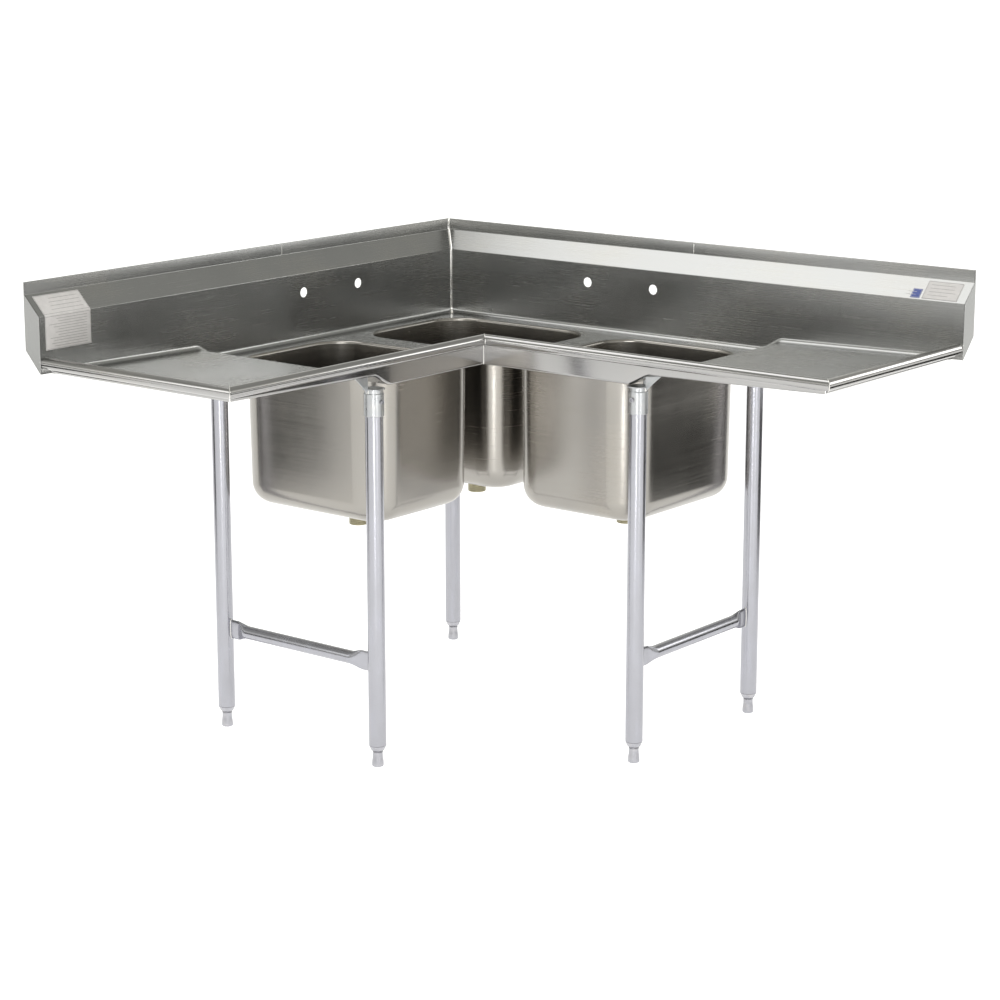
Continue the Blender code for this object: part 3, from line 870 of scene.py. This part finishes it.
def make_leg(leg):
    center, bottom, top, radius = leg_center(leg)
    bore = radius - SHEET
    ease = 0.0004
    tube = [(bore, bottom + ease), (bore + ease, bottom), (radius - ease, bottom), (radius, bottom + ease)]
    for i in range(1, 8):
        tube.append((radius, bottom + (top - bottom) * i / 8))
    tube += [(radius, top), (bore, top)]
    piece(f"leg_tube_{leg}", [turned(tube, center)], TUBE, (f"leg_{leg}",))
    low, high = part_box(f"leg_plug_{leg}")
    hole = 0.0131
    plug = [
        (hole, low.z + 0.0004),
        (hole + 0.0004, low.z),
        (0.0149, low.z),
        (0.0157, low.z + 0.0006),
        (0.0175, low.z + 0.0050),
        (0.0192, low.z + 0.0090),
        (radius - 0.0006, bottom - 0.0014),
        (radius - 0.0003, bottom - 0.0004),
        (radius - 0.0012, bottom - 0.0002),
        (bore - 0.0003, bottom),
        (bore - 0.0003, high.z),
        (hole, high.z),
    ]
    piece(f"leg_collar_{leg}", [turned(plug, center)], FOOT, (f"leg_plug_{leg}",))
    node = f"foot_{leg}"
    low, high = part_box(node)
    foot = [
        (0.0100, low.z),
        (0.0118, low.z + 0.0004),
        (0.0132, low.z + 0.0014),
        (0.0138, low.z + 0.0032),
        (0.0138, low.z + 0.0080),
        (0.0135, low.z + 0.0130),
        (0.0128, low.z + 0.0180),
        (0.0121, low.z + 0.0230),
        (0.0118, low.z + 0.0280),
        (0.0118, low.z + 0.0340),
    ]
    steps = 120
    start, end = low.z + 0.0350, high.z - 0.0006
    foot += [(FOOT_THREAD_R, start + (end - start) * i / steps) for i in range(steps + 1)]
    foot.append((0.0106, high.z))
    threaded = thread_radius(0.0009, 0.0017)

    def radius_of(r, angle, z):
        return threaded(r, angle, z) if abs(r - FOOT_THREAD_R) < 1e-6 else r

    solid = turned(foot, center, closed=False, radius_of=radius_of)
    piece(f"bullet_foot_{leg}", [solid], FOOT, (node,), body=node)


def web_part(corner, run, across, outline):
    """A plate of the web's thickness: outline of (reach, z) along run."""
    rings = []
    for side in (-WEB / 2, WEB / 2):
        rings.append([corner + run * reach + across * side + Vector((0, 0, z)) for reach, z in outline])
    return rings_mesh(rings)


def web_outline(near, tip, near_z, tip_z, low):
    """(reach, z) of a web: along the deck's underside, then a hollow curve back down to the leg."""
    outline = [(near, near_z), (tip, tip_z)]
    for i in range(9):
        t = i / 8
        rise = (tip_z - 0.0015 - low) * (1 - t) ** 0.9
        outline.append((near + (tip - near) * (1 - t), low + rise))
    return outline


def make_gusset(leg):
    """Leg socket: a sleeve and plate and, on the four wing legs, two webs with their beads."""
    node = f"gusset_{leg}"
    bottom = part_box(node)[0].z
    center, _, _, radius = leg_center(leg)
    under = DECK_Z - 0.0023 - 0.0030
    sleeve = [
        (radius + 0.0002, bottom + 0.0006),
        (radius + 0.0008, bottom),
        (SLEEVE_R - 0.0008, bottom),
        (SLEEVE_R, bottom + 0.0008),
        (SLEEVE_R, under - 0.0088),
        (SLEEVE_R - 0.0008, under - 0.0080),
        (radius + 0.0004, under - 0.0080),
        (radius + 0.0004, under),
        (radius + 0.0002, under),
    ]
    outline = rounded_rect(center.x, center.y, 2 * PLATE_HALF, 2 * PLATE_HALF, 0.014, 8)
    plate = rings_mesh([[(x, y, z) for x, y in outline] for z in (under, DECK_Z - 0.0023)])
    piece(f"leg_socket_{leg}", [turned(sleeve, center), plate], SOCKET, (node,), bevel=0.0004)
    if leg == "corner":
        return
    if leg.startswith("left"):
        wing, s = "left", HIGH.y - center.y
        out, room = Vector((0, -1, 0)), Vector((1, 0, 0))
    else:
        wing, s = "right", center.x - LOW.x
        out, room = Vector((1, 0, 0)), Vector((0, -1, 0))
    inward = room * (-1 if leg.endswith("front") else 1)

    def underside(at):
        return deck_height(wing, at) - SHEET - 0.0002

    near = radius + 0.0002
    low = under - 0.0085
    level = underside(s - 0.003)
    along = web_outline(near, WEB_TIP, underside(s + near), underside(s + WEB_TIP), low)
    aside = web_outline(near, WEB_TIP, level, level, low)
    webs = [web_part(center, out, room, along), web_part(center, inward, out, aside)]
    piece(f"gusset_webs_{leg}", webs, SOCKET, bevel=0.0005)
    heights = [low + 0.001 + (under - low) * i / 8 for i in range(9)]
    beads = []
    for run, across in ((out, room), (inward, out)):
        for side in (-0.0022, 0.0022):
            foot = center + run * (radius + 0.0008) + across * side
            beads.append(tube_along([foot + Vector((0, 0, z)) for z in heights], 0.0014, 8))
    piece(f"gusset_beads_{leg}", beads, WELD)


def make_set_screw(leg):
    """A round head with a hexagon socket, square to the sleeve."""
    node = f"set_screw_{leg}"
    low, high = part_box(node)
    center, _, _, _ = leg_center(leg)
    middle = (low + high) / 2
    side = middle - center
    if abs(side.y) > abs(side.x):
        out = Vector((0, math.copysign(1, side.y), 0))
    else:
        out = Vector((math.copysign(1, side.x), 0, 0))
    up = Vector((0, 0, 1))
    across = out.cross(up)
    start = Vector((center.x, center.y, middle.z)) + out * 0.0209
    head = [(0.0030, 0.0), (0.0030, 0.0024), (0.0054, 0.0024)]
    head += [(0.0056, 0.0030), (0.0056, 0.0052), (0.0052, 0.0060)]
    socket = [(0.0030, 0.0060), (0.0028, 0.0058), (0.0027, 0.0036)]
    rings = []
    for index, (radius, reach) in enumerate(head + socket):
        ring = []
        for k in range(36):
            a = 2 * math.pi * k / 36
            r = radius
            if index >= len(head):
                r = radius / math.cos((a + math.pi / 6) % (math.pi / 3) - math.pi / 6)
            ring.append(start + out * reach + across * r * math.cos(a) + up * r * math.sin(a))
        rings.append(ring)
    piece(f"set_screw_head_{leg}", [rings_mesh(rings)], FOOT, (node,))


def make_rail(wing):
    """A cross rail: round tube, pressed flat and tall where it meets the legs."""
    node = f"rail_{wing}"
    low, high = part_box(node)
    z0 = (low.z + high.z) / 2
    if wing == "left":
        line, start, end = (low.y + high.y) / 2, low.x, high.x
    else:
        line, start, end = (low.x + high.x) / 2, low.y, high.y

    def ring(at, blend, wall):
        across = FLAT_HALF + (RAIL_R - FLAT_HALF) * blend - wall
        tall = TALL_HALF + (RAIL_R - TALL_HALF) * blend - wall
        power = 1.0 - 0.25 * (1 - blend)
        points = []
        for k in range(48):
            a = 2 * math.pi * k / 48
            u = across * math.copysign(abs(math.cos(a)) ** power, math.cos(a))
            v = tall * math.copysign(abs(math.sin(a)) ** power, math.sin(a))
            points.append((at, line + u, z0 + v) if wing == "left" else (line + u, at, z0 + v))
        return points

    stations = [(0.0, 0.0), (0.012, 0.0), (0.022, 0.0)]
    for i in range(1, 13):
        t = i / 12
        stations.append((0.022 + 0.036 * t, t * t * (3 - 2 * t)))
    half = [(start + at, blend) for at, blend in stations]
    other = [(end - at, blend) for at, blend in reversed(stations)]
    outer = [ring(at, blend, 0.0) for at, blend in half + other]
    inner = [ring(at, blend, 0.0013) for at, blend in reversed(half + other)]
    piece(f"cross_rail_{wing}", [rings_mesh(outer + inner, closed=True)], TUBE, (node,), angle=50)
    beads = []
    for at, inset in ((start, 0.0006), (end, -0.0006)):
        shift = Vector((inset, 0, 0)) if wing == "left" else Vector((0, inset, 0))
        path = [Vector(p) + shift for p in ring(at, 0.0, -0.0004)]
        beads.append(tube_along(path + path[:1], 0.0013, 8))
    piece(f"rail_welds_{wing}", beads, WELD, angle=60)


# Blank foils

FOIL_THICK = 0.0004
FOIL_LIFT = GAP * 0.3
RULE = 0.00006
INSET = 0.0012


def slope_point(along, lift):
    """(d, z) on the backsplash's slope, along it from its foot and lifted off it."""
    step = math.sqrt(0.5)
    return SPLASH_DEPTH - along * step + lift * step, SLOPE_Z + along * step + lift * step


def strip(wing, s_range, ends):
    """A ruled line's thin flat strip on the splash between two (d, z) points."""
    (d1, z1), (d2, z2) = ends
    run = Vector((d2 - d1, z2 - z1)).normalized()
    out = Vector((run.y, -run.x)) * RULE
    if out.x < 0:
        out = -out
    outline = [(d1, z1), (d2, z2), (d2 + out.x, z2 + out.y), (d1 + out.x, z1 + out.y)]
    return rings_mesh([[on_wing(wing, s, d, z) for d, z in outline] for s in s_range])


def face_point(down, lift):
    """(d, z) on the backsplash's upright face, down from the slope's foot."""
    return SPLASH_DEPTH + lift, SLOPE_Z - down


def panel_rules(wing, s_low, s_high, point, start, end, rows, rng):
    """A border and ruled lines that stand for a blank form, with no lettering."""
    s_low, s_high = s_low + INSET, s_high - INSET
    line = 0.0007

    def band(s_range, low, high):
        return strip(wing, s_range, (point(low, FOIL_THICK), point(high, FOIL_THICK)))

    parts = [band((s_low, s_high), at, at + line) for at in (start, end - line)]
    parts += [band((s, s + line), start, end) for s in (s_low, s_high - line)]
    for row in range(rows):
        at = start + (end - start) * (row + 1) / (rows + 1)
        stop = s_high - 0.010 - 0.030 * rng.random()
        parts.append(band((s_low + 0.010, stop), at, at + 0.0008))
    return parts


def make_labels():
    rng = random.Random(5)
    for node, wing in (("label_left", "left"), ("label_right", "right"), ("sticker_right", "right")):
        low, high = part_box(node)
        ends = (HIGH.y - high.y, HIGH.y - low.y) if wing == "left" else (low.x - LOW.x, high.x - LOW.x)
        top = (high.z - SLOPE_Z) * math.sqrt(2) - FOIL_THICK
        on_face = low.z <= SLOPE_Z - 0.002
        blue = node.startswith("sticker")
        bottom = 0.002 if on_face else 0.004
        down = SLOPE_Z - low.z
        sides = []
        for lift in (FOIL_LIFT, FOIL_THICK):
            side = [slope_point(top, lift), slope_point(bottom, lift)]
            if on_face:
                side += [slope_point(0.0008, lift), face_point(0.0008, lift)]
                side += [face_point(0.002, lift), face_point(down, lift)]
            sides.append(side)
        outline = sides[0] + sides[1][::-1]
        rings = [[on_wing(wing, s, d, z) for d, z in outline] for s in ends]
        piece(f"foil_{node}", [rings_mesh(rings)], BLUE if blue else FOIL, (node,), angle=60)
        rows = 2 if blue else 4
        parts = panel_rules(wing, *ends, slope_point, bottom + INSET, top - INSET, rows, rng)
        if on_face:
            parts += panel_rules(wing, *ends, face_point, 0.003, down - INSET, 11, rng)
        piece(f"rules_{node}", parts, FOIL if blue else INK)


# Studio

# SKY is the room's brightness by height of direction, from the horizon up. LAMPS are (name, place,
# aimed at, width, height, watts), and FLAGS are dark boards as (name, place, width, height).
FLOOR_GLOW = 0.80
SKY = ((0.0, 0.10), (0.10, 0.60), (0.27, 1.10), (0.58, 0.42), (1.0, 0.60))
LAMPS = (
    ("overhead", (-1.35, -0.1, 3.8), (0.2, 0.4, 1.0), 1.9, 2.2, 25),
    ("key", (2.5, -3.7, 3.4), (0, 0, 0.8), 2.8, 1.8, 78),
    ("low_strip", (1.45, -2.5, 0.32), (-0.25, 0.0, 0.62), 0.16, 0.55, 5),
    ("side_strip", (3.4, -1.2, 0.7), (0.3, 0.3, 0.6), 0.4, 1.3, 8),
    ("left_card", (-1.95, -2.65, 1.8), (0.45, 0.4, 0.9), 0.9, 0.9, 4),
    ("right_card", (1.95, 2.76, 1.8), (-0.4, -0.2, 0.9), 0.9, 0.9, 8),
)
FLAGS = (
    ("flag_right", (1.40, 1.85), 2.0, 0.50),
    ("flag_left", (-2.20, -1.52), 1.05, 0.55),
)
CAMERA_LENS = 36.0 * 2.6136
CAMERA_PLACE = (4.4292, 5.3651, 1.9949)
CAMERA_TILT = 90 - 13.1531
CAMERA_TURN = 38.4088


def glow(name, color, power):
    """An evenly lit surface, as the floor of a studio sweep is."""
    material = bpy.data.materials.new(name)
    material.use_nodes = True
    shader = material.node_tree.nodes["Principled BSDF"]
    shader.inputs["Base Color"].default_value = (*color, 1)
    shader.inputs["Roughness"].default_value = 0.9
    shader.inputs["Specular IOR Level"].default_value = 0.0
    shader.inputs["Emission Color"].default_value = (1, 1, 1, 1)
    shader.inputs["Emission Strength"].default_value = power
    return material


def stage_mesh(name, rings, material):
    verts, faces = rings_mesh(rings)
    mesh = bpy.data.meshes.new(name)
    mesh.from_pydata(verts, [], faces)
    mesh.materials.append(material)
    put(name, mesh)


def make_floor():
    rings = [[(x, y, z) for x, y in circle(0, 0, 90, 64)] for z in (-0.05, 0.0)]
    stage_mesh("studio_floor", rings, glow("floor_paint", (0.84, 0.84, 0.84), FLOOR_GLOW))


def make_world():
    """A dim room: dark about the horizon, with a pale ceiling."""
    world = bpy.data.worlds.new("studio")
    bpy.context.scene.world = world
    world.use_nodes = True
    tree = world.node_tree
    background = tree.nodes["Background"]
    coordinates = tree.nodes.new("ShaderNodeTexCoord")
    split = tree.nodes.new("ShaderNodeSeparateXYZ")
    tree.links.new(coordinates.outputs["Generated"], split.inputs[0])
    ramp = tree.nodes.new("ShaderNodeValToRGB")
    elements = ramp.color_ramp.elements
    while len(elements) < len(SKY):
        elements.new(0.5)
    for element, (position, value) in zip(elements, SKY):
        element.position = position
        element.color = (value, value, value * 0.94, 1.0)
    tree.links.new(split.outputs["Z"], ramp.inputs["Fac"])
    tree.links.new(ramp.outputs["Color"], background.inputs["Color"])
    background.inputs["Strength"].default_value = 1.0


def make_lamps():
    for name, at, target, wide, tall, power in LAMPS:
        data = bpy.data.lights.new(name, "AREA")
        data.shape = "RECTANGLE"
        data.size = wide
        data.size_y = tall
        data.energy = power
        lamp = put(name, data)
        lamp.location = at
        lamp.rotation_euler = (Vector(target) - Vector(at)).to_track_quat("-Z", "Y").to_euler()


def make_flags():
    """Dark boards that stand out of view and give the steel something dark to mirror."""
    for name, at, wide, tall in FLAGS:
        facing = Vector((-at[0], -at[1], 0.0)).normalized()
        along = Vector((-facing.y, facing.x, 0.0)) * wide / 2
        low = Vector((at[0], at[1], 0.01))
        up = Vector((0, 0, tall))
        rings = []
        for back in (0.0, 0.02):
            foot = low + facing * -back
            rings.append([foot - along, foot + along, foot + along + up, foot - along + up])
        stage_mesh(name, rings, glow(name, (0.03, 0.03, 0.028), 0.0))


def make_camera():
    """Stands at the angle from which the object was seen, with no shift."""
    data = bpy.data.cameras.new("camera")
    data.sensor_width = 36.0
    data.lens = CAMERA_LENS
    data.clip_end = 400.0
    camera = put("camera", data)
    camera.location = from_corner(*CAMERA_PLACE)
    camera.rotation_euler = (math.radians(CAMERA_TILT), 0.0, math.radians(CAMERA_TURN))
    bpy.context.scene.camera = camera


def main():
    for wing in WINGS:
        make_splash(wing)
        make_end_cap(wing)
        make_drainboard(wing)
        make_rims(wing)
        make_rail(wing)
    make_deck()
    make_rim_welds()
    make_corner_seam()
    make_upturn_marks()
    for bowl in BOWLS:
        make_bowl(bowl)
        make_drain(bowl)
        make_strainer(bowl)
    for leg in LEGS:
        make_leg(leg)
        make_gusset(leg)
        make_set_screw(leg)
    make_labels()
    make_floor()
    make_world()
    make_lamps()
    make_flags()
    make_camera()
    bpy.context.scene.view_settings.view_transform = "Standard"


main()
